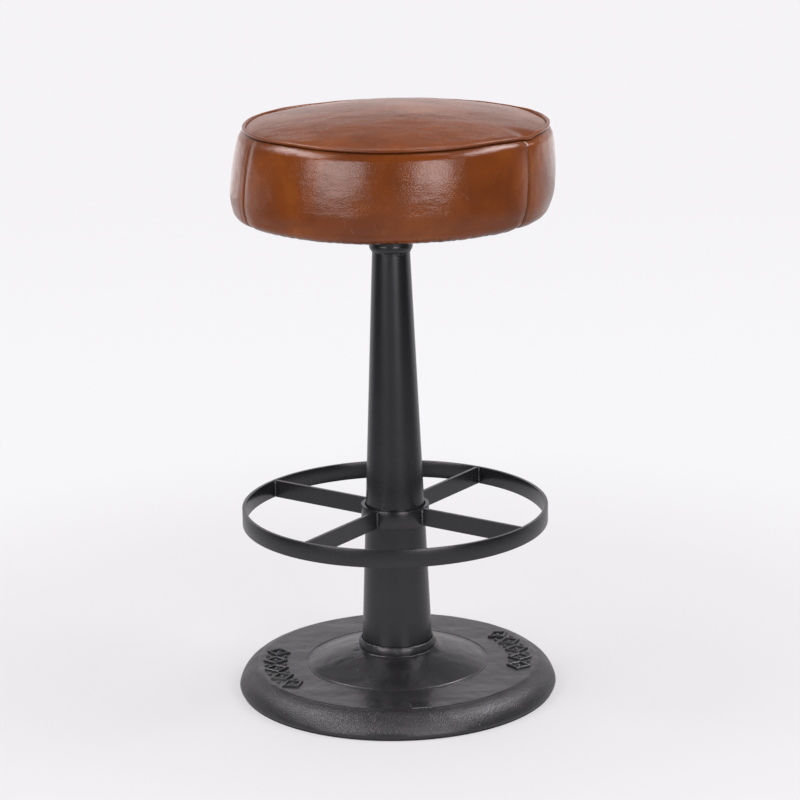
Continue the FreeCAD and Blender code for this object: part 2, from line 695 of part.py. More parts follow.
def seat_pieces():
    plate = seat_plate()
    turned_spindle = spindle()
    skin = leather_skin()
    pieces = {
        "upper_race": race(UPPER_RACE_FOOT),
        "spindle": turned_spindle,
        "spindle_weld": spindle_weld(plate, turned_spindle),
        "retaining_washer": retaining_washer(),
        "retaining_nut": retaining_nut(),
        "seat_plate": plate,
        "seat_screws": seat_screws(),
        "tee_nuts": tee_nuts(),
        "seat_board": seat_board(),
        "seat_foam": seat_foam(),
        "top_panel": top_panel(skin),
        "seat_piping": seat_piping(),
        "dust_cover": dust_cover(),
        "staples": staples(),
    }
    ends = SEAM_AZIMUTHS[1:] + SEAM_AZIMUTHS[:1]
    for number, (first, last) in enumerate(zip(SEAM_AZIMUTHS, ends), 1):
        pieces[f"side_panel_{number}"] = side_panel(skin, first, last)
    return pieces


def main():
    os.makedirs("parts", exist_ok=True)
    for pieces in (pedestal_pieces(), seat_pieces()):
        for node, shape in pieces.items():
            shape.exportStep(f"parts/{node}.step")
            print(node, len(shape.Solids), "solids", round(shape.Volume), "mm3")


main()
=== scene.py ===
import math
import random

import bmesh
import bpy
import numpy as np
from mathutils import Matrix, Vector, noise
from mathutils.bvhtree import BVHTree


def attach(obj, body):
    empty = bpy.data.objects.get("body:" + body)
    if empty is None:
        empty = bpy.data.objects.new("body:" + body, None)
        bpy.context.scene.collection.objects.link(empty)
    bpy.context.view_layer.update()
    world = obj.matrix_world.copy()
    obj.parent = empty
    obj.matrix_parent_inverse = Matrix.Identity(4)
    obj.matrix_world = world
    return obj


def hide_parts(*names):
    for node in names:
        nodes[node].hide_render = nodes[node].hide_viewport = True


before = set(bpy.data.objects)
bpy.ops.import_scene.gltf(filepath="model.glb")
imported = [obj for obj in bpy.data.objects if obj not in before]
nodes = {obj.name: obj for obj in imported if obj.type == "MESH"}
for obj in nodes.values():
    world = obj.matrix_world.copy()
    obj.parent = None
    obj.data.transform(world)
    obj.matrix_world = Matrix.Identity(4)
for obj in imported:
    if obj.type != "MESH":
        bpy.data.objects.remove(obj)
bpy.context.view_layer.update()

# Every size is in metres. Azimuths are degrees from +X towards +Y, and the sitter's side is -Y.

# Cushion
PIPING_HEIGHT = 0.651
PIPING_CIRCLE = 0.1666
WELT_RADIUS = 0.0021
CROWN_RISE = 0.019
CROWN_EDGE = 0.155
CROWN_EDGE_DROP = 0.0011
GROOVE_HEIGHT = 0.6483
SIDE_TOP = 0.648
UPPER_TURN_RADIUS = 0.1727
UPPER_TURN_HEIGHT = 0.640
BULGE_RADIUS = 0.1786
BULGE_HEIGHT = 0.586
LOWER_SIDE_RADIUS = 0.1752
LOWER_SIDE_HEIGHT = 0.563
TURN_RADIUS = 0.1649
HEM_UNDERSIDE = 0.5508
HEM_INNER_RADIUS = 0.129
LEATHER_THICKNESS = 0.0014
POCKET_RADIUS = 0.1593
POCKET_TOP = 0.5675
TOP_OFF_CENTRE = 0.0068
FOOT_OFF_CENTRE = 0.0006
SETTLING_STEPS = 20
SETTLING_VOXEL = 0.0055
LARGEST_SWELL = 0.003

# Places where the welt was sewn too high or too low: azimuth, rise, and width in degrees
WELT_BUMPS = ((-130, 0.0012, 11), (-86, -0.0005, 14), (-52, 0.0011, 9), (-31.5, -0.0026, 4.5))

# Seams and pleats of the side panels
SEAM_AZIMUTHS = (-154.3, -35.7, 84.9)
SEAM_CUT_WIDTH = 0.0009
SEAM_CUT_DEPTH = 0.001
SEAM_SHADE_WIDTH = 0.00075
SEAM_DRAW_WIDTH = 0.009
SEAM_DRAW_DEPTH = 0.0011
LAP_ASIDE = 0.0042
LAP_WIDTH = 0.0026
LAP_RISE = 0.0003
PLEAT_FOOT = 0.5525
PLEAT_DEPTH = 0.0006
PLEAT_REACH = 0.014
STITCH_ASIDE = 0.0024
STITCH_SPACING = 0.0034
STITCH_LENGTH = 0.0023
STITCH_RADIUS = 0.00035

# Cloth under the seat
COVER_INNER_RADIUS = 0.082
COVER_OUTER_RADIUS = 0.147
COVER_THICKNESS = 0.0005
STAPLE_CIRCLE = 0.138
STAPLE_COUNT = 24

# Base
BASE_RADIUS = 0.1818
BASE_FOOT_RADIUS = BASE_RADIUS - 0.0014
BASE_UNDERSIDE = 0.002
BASE_TOP = 0.0284
SHOULDER_RADIUS = 0.161
SHOULDER_LIP_DEPTH = 0.0011
DOME_RADIUS = 0.101
DOME_TOP = 0.0468
DOME_TOP_RADIUS = 0.0434
HUB_TOP = 0.0574
SOCKET_RADIUS = 0.04045
SOCKET_FLOOR = 0.0448
BOLT_HOLE_RADIUS = 0.00675
BOSS_RADIUS = 0.034
BOSS_UNDERSIDE = 0.014
HOLLOW_TOP = 0.0204
DOME_HOLLOW_RADIUS = 0.093
RIM_HOLLOW_RADIUS = 0.153

# Raised ornament on the base
ORNAMENT_CIRCLE = 0.1405
ORNAMENT_MIDDLES = (-169.5, 11.0)
LOZENGE_STEP = 11
LOZENGE_ALONG = 0.0128
LOZENGE_ACROSS = 0.0144
LOZENGE_STROKE = 0.005
LOZENGE_HEIGHT = 0.0021
MIDDLE_DOT = {"size": 0.0027, "height": 0.0018}
SIDE_DOT = {"size": 0.0024, "height": 0.0017}
SIDE_DOT_OFFSET = 0.0104
PAD_CIRCLE = 0.1485
PAD_AZIMUTH = -80.3
PAD_ALONG = 0.0115
PAD_ACROSS = 0.0078
PAD_HEIGHT = 0.0009
ORNAMENT_SUNK = 0.0008

# Column and foot ring
COLUMN_TOP = 0.510
COLUMN_TOP_RADIUS = 0.0211
FOOT_RING_TOP = 0.2170
FLAT_BAR_HEIGHT = 0.020
FLAT_BAR_HALF = 0.002
COLLAR_RADIUS = 0.0385
HOOP_INNER_RADIUS = 0.16925
SPOKE_AZIMUTHS = (-35, 55, 145, 235)
BEAD_RADIUS = 0.0021
HOUSING_BEAD_START = 271

# Light and camera
ROOM_LIGHT = 0.05
BOX_COLOUR = (1.0, 0.96, 0.985)
FLOOR_RADIUS = 14.0
CAMERA_PLACE = (0.0074, -3.0707, 1.168)
CAMERA_PITCH = 0.2641
CAMERA_ROLL = 0.0156
CAMERA_LENS = 127.44
CAMERA_SENSOR = 36.0


def arc(start, end, rise, count):
    """Points from start to end, standing off the chord by rise to its left, without the end."""
    (r0, z0), (r1, z1) = start, end
    length = math.hypot(r1 - r0, z1 - z0)
    left = (-(z1 - z0) / length, (r1 - r0) / length)
    points = []
    for k in range(count):
        t = k / count
        off = 4 * rise * t * (1 - t)
        points.append((r0 + t * (r1 - r0) + off * left[0], z0 + t * (z1 - z0) + off * left[1]))
    return points


def bell(apart, width):
    """One in the middle, falling softly to nothing on both sides."""
    return np.exp(-((apart / width) ** 2))


def turned_apart(azimuths, middle):
    """Signed angles in degrees from a middle azimuth."""
    return (azimuths - middle + 180) % 360 - 180


def crown_height(radius):
    sphere = (PIPING_CIRCLE**2 + CROWN_RISE**2) / (2 * CROWN_RISE)
    return PIPING_HEIGHT + CROWN_RISE - sphere + math.sqrt(sphere**2 - radius**2)


def smooth_noise(points, scale, seed, octaves=3):
    """Fractal noise between about -1 and 1 at each point; scale is the size of its waves."""
    shift = Vector((seed * 17.3, seed * 5.1, seed * 11.7))
    return np.array([noise.fractal(Vector(p) / scale + shift, 1.0, 2.0, octaves) for p in points])


def turned_mesh(name, outline, azimuths, shape=None):
    """A closed turned skin from (radius, height) points. shape may move the points of the grid."""
    outline = np.array(outline)
    turn = np.radians(azimuths)
    rows, columns = len(outline), len(turn)
    grid = np.zeros((rows, columns, 3))
    grid[:, :, 0] = outline[:, 0, None] * np.cos(turn)
    grid[:, :, 1] = outline[:, 0, None] * np.sin(turn)
    grid[:, :, 2] = outline[:, 1, None]
    if shape:
        grid = shape(grid, outline, np.array(azimuths))
    index = np.arange(rows * columns).reshape(rows, columns)
    faces = []
    for i in range(rows - 1):
        here, above = index[i], index[i + 1]
        ahead, over = np.roll(here, -1), np.roll(above, -1)
        faces.extend(np.stack([here, above, over, ahead], 1).tolist())
    vertices = grid.reshape(-1, 3).tolist()
    first, last = index[0], index[-1]
    if outline[0, 0] > 1e-6 and outline[-1, 0] > 1e-6:
        faces.extend(np.stack([last, first, np.roll(first, -1), np.roll(last, -1)], 1).tolist())
    mesh = bpy.data.meshes.new(name)
    mesh.from_pydata(vertices, [], faces)
    shell = bmesh.new()
    shell.from_mesh(mesh)
    bmesh.ops.remove_doubles(shell, verts=shell.verts, dist=1e-7)
    bmesh.ops.dissolve_degenerate(shell, edges=shell.edges, dist=1e-8)
    bmesh.ops.recalc_face_normals(shell, faces=shell.faces)
    shell.to_mesh(mesh)
    shell.free()
    return mesh


def new_piece(name, mesh, body, material, smooth=True):
    piece = bpy.data.objects.new(name, mesh)
    bpy.context.scene.collection.objects.link(piece)
    for polygon in mesh.polygons:
        polygon.use_smooth = smooth
    mesh.materials.clear()
    mesh.materials.append(material)
    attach(piece, body)
    return piece


def add(tree, kind, inputs=None, **settings):
    """A node with its settings; inputs are numbers, colours or the sockets that feed them."""
    made = tree.nodes.new(kind)
    for key, value in settings.items():
        setattr(made, key, value)
    for key, value in (inputs or {}).items():
        if isinstance(value, bpy.types.NodeSocket):
            tree.links.new(value, made.inputs[key])
        else:
            made.inputs[key].default_value = value
    return made


def math_node(tree, operation, first, second=0.0):
    return add(tree, "ShaderNodeMath", {0: first, 1: second}, operation=operation).outputs[0]


def mixed(tree, share, first, second):
    inputs = {0: share, 6: first, 7: second}
    return add(tree, "ShaderNodeMix", inputs, data_type="RGBA").outputs[2]


def spread(tree, value, low, high, to_low=0.0, to_high=1.0):
    """A value brought from one range to another, and held inside it."""
    inputs = {"Value": value, "From Min": low, "From Max": high, "To Min": to_low, "To Max": to_high}
    return add(tree, "ShaderNodeMapRange", inputs, interpolation_type="SMOOTHSTEP").outputs[0]


def noise_node(tree, where, scale, detail=4.0, roughness=0.5, distortion=0.0):
    inputs = {"Vector": where, "Scale": scale, "Detail": detail, "Roughness": roughness,
              "Distortion": distortion}
    return add(tree, "ShaderNodeTexNoise", inputs).outputs[0]


def rgb(red, green, blue):
    return (red, green, blue, 1.0)


def node_group(name, inputs, outputs):
    """An empty shader group with named inputs and outputs, and its two end nodes."""
    group = bpy.data.node_groups.new(name, "ShaderNodeTree")
    for label, kind in inputs:
        group.interface.new_socket(label, in_out="INPUT", socket_type=kind)
    for label, kind in outputs:
        group.interface.new_socket(label, in_out="OUTPUT", socket_type=kind)
    return group, group.nodes.new("NodeGroupInput").outputs, group.nodes.new("NodeGroupOutput").inputs


def use(tree, group, **inputs):
    made = tree.nodes.new("ShaderNodeGroup")
    made.node_tree = group
    for key, value in inputs.items():
        if isinstance(value, bpy.types.NodeSocket):
            tree.links.new(value, made.inputs[key])
        else:
            made.inputs[key].default_value = value
    return made.outputs


def grain_group():
    """Leather grain: small cells with creases between them, and finer roughness."""
    group, given, out = node_group(
        "leather_grain", [("Where", "NodeSocketVector"), ("Scale", "NodeSocketFloat")],
        [("Height", "NodeSocketFloat")])
    bent = add(group, "ShaderNodeTexNoise", {"Vector": given["Where"], "Scale": 90.0, "Detail": 2.0})
    shifted = add(group, "ShaderNodeVectorMath", {0: bent.outputs["Color"], 1: (0.004, 0.004, 0.004)},
                  operation="MULTIPLY")
    where = add(group, "ShaderNodeVectorMath", {0: given["Where"], 1: shifted.outputs[0]},
                operation="ADD")
    cells = add(group, "ShaderNodeTexVoronoi", {"Vector": where.outputs[0], "Scale": given["Scale"]},
                feature="DISTANCE_TO_EDGE")
    creases = spread(group, cells.outputs["Distance"], 0.0, 0.22)
    fine = noise_node(group, given["Where"], 900.0, 3.0)
    height = math_node(group, "ADD", math_node(group, "MULTIPLY", creases, 0.7),
                       math_node(group, "MULTIPLY", fine, 0.6))
    group.links.new(height, out["Height"])
    return group


def scratch_group():
    """Hair-thin light marks that curve every way, as on worn waxed leather."""
    group, given, out = node_group(
        "scratches", [("Where", "NodeSocketVector"), ("Scale", "NodeSocketFloat")],
        [("Mask", "NodeSocketFloat")])
    total = None
    for turn, stretch in ((0.5, 0.35), (1.9, 0.25), (2.7, 0.5)):
        mapped = add(group, "ShaderNodeMapping",
                     {"Vector": given["Where"], "Rotation": (turn, 0.6 * turn, turn),
                      "Scale": (1.0, stretch, 1.0)})
        wave = noise_node(group, mapped.outputs[0], given["Scale"], 2.0, 0.5, 0.4)
        off = math_node(group, "ABSOLUTE", math_node(group, "SUBTRACT", wave, 0.5))
        line = spread(group, off, 0.001, 0.004, 1.0, 0.0)
        shown = spread(group, noise_node(group, given["Where"], 30.0 + 9 * turn, 3.0), 0.53, 0.62)
        line = math_node(group, "MULTIPLY", line, shown)
        total = line if total is None else math_node(group, "MAXIMUM", total, line)
    where_any = noise_node(group, given["Where"], 11.0, 3.0)
    group.links.new(math_node(group, "MULTIPLY", total, spread(group, where_any, 0.4, 0.6)), out["Mask"])
    return group


def unevenness_group():
    """Slow unevenness and fine roughness of bare metal."""
    group, given, out = node_group(
        "metal_unevenness", [("Where", "NodeSocketVector"), ("Coarse", "NodeSocketFloat"),
                             ("Fine", "NodeSocketFloat")],
        [("Height", "NodeSocketFloat"), ("Patches", "NodeSocketFloat")])
    coarse = noise_node(group, given["Where"], given["Coarse"], 5.0, 0.6)
    fine = noise_node(group, given["Where"], given["Fine"], 2.0, 0.5)
    height = math_node(group, "ADD", coarse, math_node(group, "MULTIPLY", fine, 0.25))
    group.links.new(height, out["Height"])
    group.links.new(noise_node(group, given["Where"], 24.0, 4.0, 0.6), out["Patches"])
    return group


def start_material(name):
    """A node material with its shader, and the object's own coordinates."""
    material = bpy.data.materials.new(name)
    material.use_nodes = True
    tree = material.node_tree
    where = tree.nodes.new("ShaderNodeTexCoord").outputs["Object"]
    return material, tree, tree.nodes["Principled BSDF"], where


def bump(tree, shader, height, strength, distance, normal=None):
    inputs = {"Height": height, "Strength": strength, "Distance": distance}
    if normal:
        inputs["Normal"] = normal
    made = add(tree, "ShaderNodeBump", inputs).outputs[0]
    tree.links.new(made, shader.inputs["Normal"])
    return made


def leather_material(name, with_crease_shade):
    """Aged tan leather with a waxed shine, duller on the crown, with painted shade where asked in seams,
    pleats, the welt groove and along the hem.
    """
    material, tree, shader, where = start_material(name)
    patches = noise_node(tree, where, 13.0, 5.0, 0.55, 0.6)
    small = noise_node(tree, where, 46.0, 4.0, 0.6)
    colour = mixed(tree, spread(tree, patches, 0.36, 0.56), LEATHER_DARK, LEATHER_MIDDLE)
    colour = mixed(tree, spread(tree, patches, 0.52, 0.68), colour, LEATHER_LIGHT)
    colour = mixed(tree, spread(tree, small, 0.3, 0.75, 0.0, 0.3), colour, LEATHER_DARK)
    marks = use(tree, SCRATCHES, Where=where, Scale=21.0)["Mask"]
    colour = mixed(tree, math_node(tree, "MULTIPLY", marks, 0.2), colour, rgb(0.4, 0.18, 0.08))
    if with_crease_shade:
        # Painted shade: near-black colour laid into seams, pleats, the groove under the welt and the
        # hem's lower edge.
        painted_crease_shade = add(tree, "ShaderNodeAttribute", attribute_name="painted_crease_shade").outputs["Fac"]
        colour = mixed(tree, painted_crease_shade, colour, rgb(0.022, 0.008, 0.004))
    tree.links.new(colour, shader.inputs["Base Color"])
    shine = spread(tree, patches, 0.3, 0.7, 0.21, 0.17)
    level = add(tree, "ShaderNodeSeparateXYZ", {0: where}).outputs["Z"]
    worn = spread(tree, level, PIPING_HEIGHT - 0.002, PIPING_HEIGHT + 0.004, 0.0, 0.07)
    worn = math_node(tree, "MAXIMUM", worn, math_node(tree, "MULTIPLY", marks, 0.05))
    tree.links.new(math_node(tree, "ADD", shine, worn), shader.inputs["Roughness"])
    lying = add(tree, "ShaderNodeMapping", {"Vector": where, "Scale": (1.0, 2.6, 3.4)}).outputs[0]
    folds = noise_node(tree, lying, 24.0, 3.0, 0.5)
    soft = bump(tree, shader, folds, 0.3, 0.002)
    grain = use(tree, GRAIN, Where=where, Scale=380.0)["Height"]
    bump(tree, shader, grain, 0.2, 0.0004, soft)
    shader.inputs["Specular Tint"].default_value = rgb(1.0, 0.92, 0.9)
    return material


def painted_material():
    """Satin black paint with a slightly uneven gloss."""
    material, tree, shader, where = start_material("satin_black")
    patches = noise_node(tree, where, 24.0, 4.0, 0.6)
    tone = mixed(tree, patches, rgb(0.0065, 0.0062, 0.0075), rgb(0.0125, 0.012, 0.014))
    tree.links.new(tone, shader.inputs["Base Color"])
    tree.links.new(spread(tree, patches, 0.3, 0.7, 0.25, 0.28), shader.inputs["Roughness"])
    shader.inputs["Specular IOR Level"].default_value = 0.72
    fine = noise_node(tree, where, 420.0, 2.0)
    bump(tree, shader, fine, 0.02, 0.0002)
    return material


def cast_material():
    """Black cast iron: swept streaks on the flat, a grainy rim, and a few blow holes with painted shade
    in them.
    """
    material, tree, shader, where = start_material("cast_black")
    axes = add(tree, "ShaderNodeSeparateXYZ", {0: where}).outputs
    swept = add(tree, "ShaderNodeMapping",
                {"Vector": where, "Rotation": (0.0, 0.0, 0.35), "Scale": (1.0, 3.2, 1.0)})
    patches = noise_node(tree, swept.outputs[0], 17.0, 4.0, 0.5, 0.5)
    rim = math_node(tree, "MULTIPLY", spread(tree, axes["Z"], 0.0268, 0.0282, 1.0, 0.0),
                    spread(tree, axes["Z"], 0.004, 0.012))
    tone = mixed(tree, patches, rgb(0.0085, 0.0083, 0.0095), rgb(0.019, 0.0185, 0.021))
    cells = add(tree, "ShaderNodeTexVoronoi", {"Vector": where, "Scale": 62.0}).outputs
    rare = spread(tree, noise_node(tree, where, 16.0, 2.0), 0.56, 0.66)
    holes = math_node(tree, "MULTIPLY", spread(tree, cells["Distance"], 0.05, 0.11, 1.0, 0.0), rare)
    # Painted shade: the blow holes are coloured near black.
    tone = mixed(tree, holes, tone, rgb(0.003, 0.003, 0.003))
    tree.links.new(tone, shader.inputs["Base Color"])
    shine = spread(tree, patches, 0.3, 0.7, 0.27, 0.36)
    hub = spread(tree, axes["Z"], 0.047, 0.052)
    duller = math_node(tree, "MULTIPLY", math_node(tree, "MAXIMUM", rim, hub), 0.08)
    tree.links.new(math_node(tree, "ADD", shine, duller), shader.inputs["Roughness"])
    shader.inputs["Specular IOR Level"].default_value = 0.8
    swept_height = math_node(tree, "MULTIPLY", patches, spread(tree, rim, 0.0, 1.0, 1.0, 0.15))
    soft = bump(tree, shader, swept_height, 0.12, 0.0016)
    speckle = noise_node(tree, where, 760.0, 1.0)
    grain = math_node(tree, "MULTIPLY", speckle, spread(tree, rim, 0.0, 1.0, 0.12, 1.0))
    grain = math_node(tree, "SUBTRACT", grain, math_node(tree, "MULTIPLY", holes, 1.6))
    bump(tree, shader, grain, 0.6, 0.0009, soft)
    return material


def metal_material(name, colour, shine):
    material, tree, shader, where = start_material(name)
    surface = use(tree, UNEVENNESS, Where=where, Coarse=90.0, Fine=900.0)
    tone = mixed(tree, surface["Patches"], rgb(*[0.75 * c for c in colour]), rgb(*colour))
    tree.links.new(tone, shader.inputs["Base Color"])
    tree.links.new(spread(tree, surface["Patches"], 0.3, 0.7, shine - 0.06, shine + 0.1),
                   shader.inputs["Roughness"])
    shader.inputs["Metallic"].default_value = 1.0
    bump(tree, shader, surface["Height"], 0.1, 0.0003)
    return material


def fibre_material(name, dark, light, scale, shine=0.9):
    """Matt stuff with fibres or cells: cloth, foam, rubber or thread."""
    material, tree, shader, where = start_material(name)
    fibres = noise_node(tree, where, scale, 4.0, 0.7)
    tree.links.new(mixed(tree, fibres, dark, light), shader.inputs["Base Color"])
    shader.inputs["Roughness"].default_value = shine
    bump(tree, shader, fibres, 0.3, 0.0004)
    return material


def plywood_material():
    """Birch plywood: long grain on the faces and thin plies at the edge."""
    material, tree, shader, where = start_material("plywood")
    stretched = add(tree, "ShaderNodeMapping", {"Vector": where, "Scale": (3.0, 60.0, 20.0)})
    grain = noise_node(tree, stretched.outputs[0], 4.0, 5.0, 0.6)
    plies = add(tree, "ShaderNodeTexWave", {"Vector": where, "Scale": 190.0, "Distortion": 0.6},
                bands_direction="Z")
    colour = mixed(tree, grain, rgb(0.42, 0.27, 0.14), rgb(0.66, 0.49, 0.3))
    dark_plies = math_node(tree, "MULTIPLY", plies.outputs[1], 0.35)
    colour = mixed(tree, dark_plies, colour, rgb(0.3, 0.18, 0.09))
    tree.links.new(colour, shader.inputs["Base Color"])
    shader.inputs["Roughness"].default_value = 0.7
    bump(tree, shader, grain, 0.2, 0.0005)
    return material


GRAIN = grain_group()
SCRATCHES = scratch_group()
UNEVENNESS = unevenness_group()

LEATHER_DARK = rgb(0.128, 0.031, 0.0066)
LEATHER_MIDDLE = rgb(0.17, 0.041, 0.007)
LEATHER_LIGHT = rgb(0.208, 0.056, 0.0085)
leather = leather_material("tan_leather", with_crease_shade=True)
welt_leather = leather_material("welt_leather", with_crease_shade=False)
cast_black = cast_material()
satin_black = painted_material()
bare_steel = metal_material("bare_steel", (0.55, 0.55, 0.56), 0.38)
bright_steel = metal_material("bright_steel", (0.75, 0.75, 0.76), 0.16)
bronze = metal_material("bronze", (0.66, 0.46, 0.22), 0.35)
rubber = fibre_material("floor_rubber", rgb(0.012, 0.012, 0.012), rgb(0.03, 0.03, 0.03), 300.0, 0.8)
cover_cloth = fibre_material("cover_cloth", rgb(0.008, 0.008, 0.009), rgb(0.05, 0.05, 0.052), 700.0)
thread = fibre_material("thread", rgb(0.07, 0.022, 0.008), rgb(0.15, 0.05, 0.018), 900.0, 0.6)
foam = fibre_material("seat_foam", rgb(0.5, 0.42, 0.24), rgb(0.75, 0.66, 0.45), 500.0)
plywood = plywood_material()


def seam_spacing():
    """Azimuths round the cushion: close together at the seams and even between them."""
    found = []
    ends = SEAM_AZIMUTHS[1:] + (SEAM_AZIMUTHS[0] + 360,)
    outer, inner = np.linspace(0.9, 4.2, 12), np.linspace(-0.7, 0.7, 9)
    near = np.concatenate([-outer[::-1], inner, outer])
    for first, last in zip(SEAM_AZIMUTHS, ends):
        found.extend((first + near).tolist())
        count = round((last - first - 9.0) / 0.62)
        found.extend(np.linspace(first + 4.5, last - 4.5, count).tolist())
    return found


def welt_wander(azimuth):
    """How far the hand-sewn welt and the edges beside it run above or under their level."""
    turn = math.radians(azimuth)
    height = 0.0002 * math.sin(5 * turn + 1.1) + 0.00015 * math.sin(13 * turn + 2)
    for place, rise, width in WELT_BUMPS:
        height += rise * bell(turned_apart(azimuth, place), width)
    return height


def skin_outline():
    """Crown, welt groove, side, turned edge and hem, as (radius, height) points."""
    rim = PIPING_CIRCLE - 0.0024
    points = []
    for radius in np.linspace(0.0, rim, 66):
        rolled = max(0.0, (radius - CROWN_EDGE) / (rim - CROWN_EDGE))
        points.append((radius, crown_height(radius) - CROWN_EDGE_DROP * rolled**2.5))
    points += [(0.16495, 0.64995), (0.1656, 0.6491), (0.1663, 0.6484), (0.1669, 0.6478)]
    points += arc((0.1673, 0.6476), (UPPER_TURN_RADIUS, UPPER_TURN_HEIGHT), 0.0007, 12)
    points += arc((UPPER_TURN_RADIUS, UPPER_TURN_HEIGHT), (BULGE_RADIUS, BULGE_HEIGHT), 0.0015, 34)
    points += arc((BULGE_RADIUS, BULGE_HEIGHT), (LOWER_SIDE_RADIUS, LOWER_SIDE_HEIGHT), 0.0012, 16)
    points += arc((LOWER_SIDE_RADIUS, LOWER_SIDE_HEIGHT), (TURN_RADIUS, HEM_UNDERSIDE), 0.0023, 14)
    points += [(r, HEM_UNDERSIDE) for r in np.linspace(TURN_RADIUS, HEM_INNER_RADIUS, 12)]
    return points


def pocket_outline():
    """The hem's upper side, and the pocket that holds the board."""
    inner = HEM_UNDERSIDE + LEATHER_THICKNESS
    return [(HEM_INNER_RADIUS - 0.0002, inner), (POCKET_RADIUS, inner), (POCKET_RADIUS, POCKET_TOP),
            (0.0, POCKET_TOP)]


def settled_skin():
    """Lets a copy of the drum swell as cloth, held at welt, hem and seams; gives both states."""
    outline = skin_outline() + pocket_outline()
    mesh = turned_mesh("settling", outline, np.linspace(0, 360, 120, endpoint=False))
    copy = bpy.data.objects.new("settling", mesh)
    bpy.context.scene.collection.objects.link(copy)
    remesh = copy.modifiers.new("voxels", "REMESH")
    remesh.mode = "VOXEL"
    remesh.voxel_size = SETTLING_VOXEL
    graph = bpy.context.evaluated_depsgraph_get()
    even = bpy.data.meshes.new_from_object(copy.evaluated_get(graph))
    copy.modifiers.clear()
    copy.data = even
    held = copy.vertex_groups.new(name="held")
    filled = copy.vertex_groups.new(name="filled")
    for vertex in even.vertices:
        x, y, z = vertex.co
        radius = math.hypot(x, y)
        azimuth = math.degrees(math.atan2(y, x))
        near = min(abs(turned_apart(azimuth, seam)) for seam in SEAM_AZIMUTHS)
        at_seam = near * math.radians(1) * radius < 0.004 and z < PIPING_HEIGHT and radius > 0.15
        at_welt = radius > 0.160 and abs(z - PIPING_HEIGHT) < 0.004
        if z < 0.556 or at_seam or at_welt or (radius < 0.1605 and z < POCKET_TOP + 0.001):
            held.add([vertex.index], 1.0, "REPLACE")
        uneven = 0.62 + 0.38 * noise.noise(vertex.co / 0.07 + Vector((3.1, 0.4, 7.7)))
        filled.add([vertex.index], max(0.0, min(1.0, uneven)), "REPLACE")
    cloth = copy.modifiers.new("leather", "CLOTH")
    cloth.settings.quality = 5
    cloth.settings.mass = 0.4
    cloth.settings.tension_stiffness = 25
    cloth.settings.compression_stiffness = 25
    cloth.settings.bending_stiffness = 1.2
    cloth.settings.use_pressure = True
    cloth.settings.uniform_pressure_force = 4
    cloth.settings.vertex_group_pressure = "filled"
    cloth.settings.vertex_group_mass = "held"
    cloth.settings.effector_weights.gravity = 0
    cloth.collision_settings.use_collision = False
    scene = bpy.context.scene
    for step in range(SETTLING_STEPS):
        scene.frame_set(step + 1)
    graph = bpy.context.evaluated_depsgraph_get()
    swollen = bpy.data.meshes.new_from_object(copy.evaluated_get(graph))
    before, after = [BVHTree.FromPolygons([v.co for v in each.vertices],
                                          [p.vertices for p in each.polygons])
                     for each in (even, swollen)]
    bpy.data.objects.remove(copy)
    scene.frame_set(1)
    return before, after


def swelling(points, directions, skin):
    """How far each point moves along its own direction as the skin settles."""
    before, after = skin
    depth = 0.02
    found = np.zeros(len(points))
    for k, (point, direction) in enumerate(zip(points, directions)):
        start = Vector(point - depth * direction)
        first = before.ray_cast(start, Vector(direction), 0.06)[3]
        last = after.ray_cast(start, Vector(direction), 0.06)[3]
        if first is not None and last is not None:
            found[k] = last - first
    return found


def lap_side(seam):
    """Which way the overlapping edge lies beside a seam."""
    return 1 if seam > -90 else -1


def seam_marks(azimuths, radius, side):
    """How the side draws in at its seams and rises at the lap, and the painted shade in the cuts."""
    push, dark = 0.0, 0.0
    for seam in SEAM_AZIMUTHS:
        along = np.radians(turned_apart(azimuths, seam))[None, :] * np.maximum(radius, 0.1)
        push = push - SEAM_CUT_DEPTH * bell(along, SEAM_CUT_WIDTH) * side
        push = push - SEAM_DRAW_DEPTH * bell(along, SEAM_DRAW_WIDTH) * side
        push = push + LAP_RISE * bell(along - LAP_ASIDE * lap_side(seam), LAP_WIDTH) * side
        # Painted shade: a dark line down each seam cut.
        dark = np.maximum(dark, 0.85 * bell(along, SEAM_SHADE_WIDTH) * side)
    return push, dark


def pleat_marks(azimuths, height, outside):
    """Small pleats that run up from the hem, each with its own depth, width and reach, and painted shade
    down the middle of each.
    """
    push, dark = 0.0, 0.0
    random.seed(31)
    place = 0.0
    while place < 360:
        depth = random.uniform(0.0001, PLEAT_DEPTH)
        width = random.uniform(0.5, 1.2)
        reach = PLEAT_REACH * random.uniform(0.3, 0.8)
        apart = turned_apart(azimuths, place)[None, :]
        grows = np.clip((PLEAT_FOOT + reach - height) / reach, 0, 1) ** 2 * outside
        push = push - depth * bell(apart, width) * grows
        # Painted shade in the pleat's fold, darker for deeper pleats.
        dark = np.maximum(dark, 0.7 * bell(apart, 0.4 * width) * grows * depth / PLEAT_DEPTH)
        place += random.uniform(1.8, 5.2)
    return push, dark


def settled_push(grid, ways, shown, radius, skin):
    """How far the simulated skin stands off, without its mean at each level."""
    swell = np.zeros(grid.shape[:2])
    found = swelling(grid[shown].reshape(-1, 3), ways[shown].reshape(-1, 3), skin)
    swell[shown] = found.reshape(-1, grid.shape[1])
    swell -= swell.mean(axis=1, keepdims=True) * np.clip(radius / 0.05, 0, 1)
    return np.clip(swell, -LARGEST_SWELL, LARGEST_SWELL)


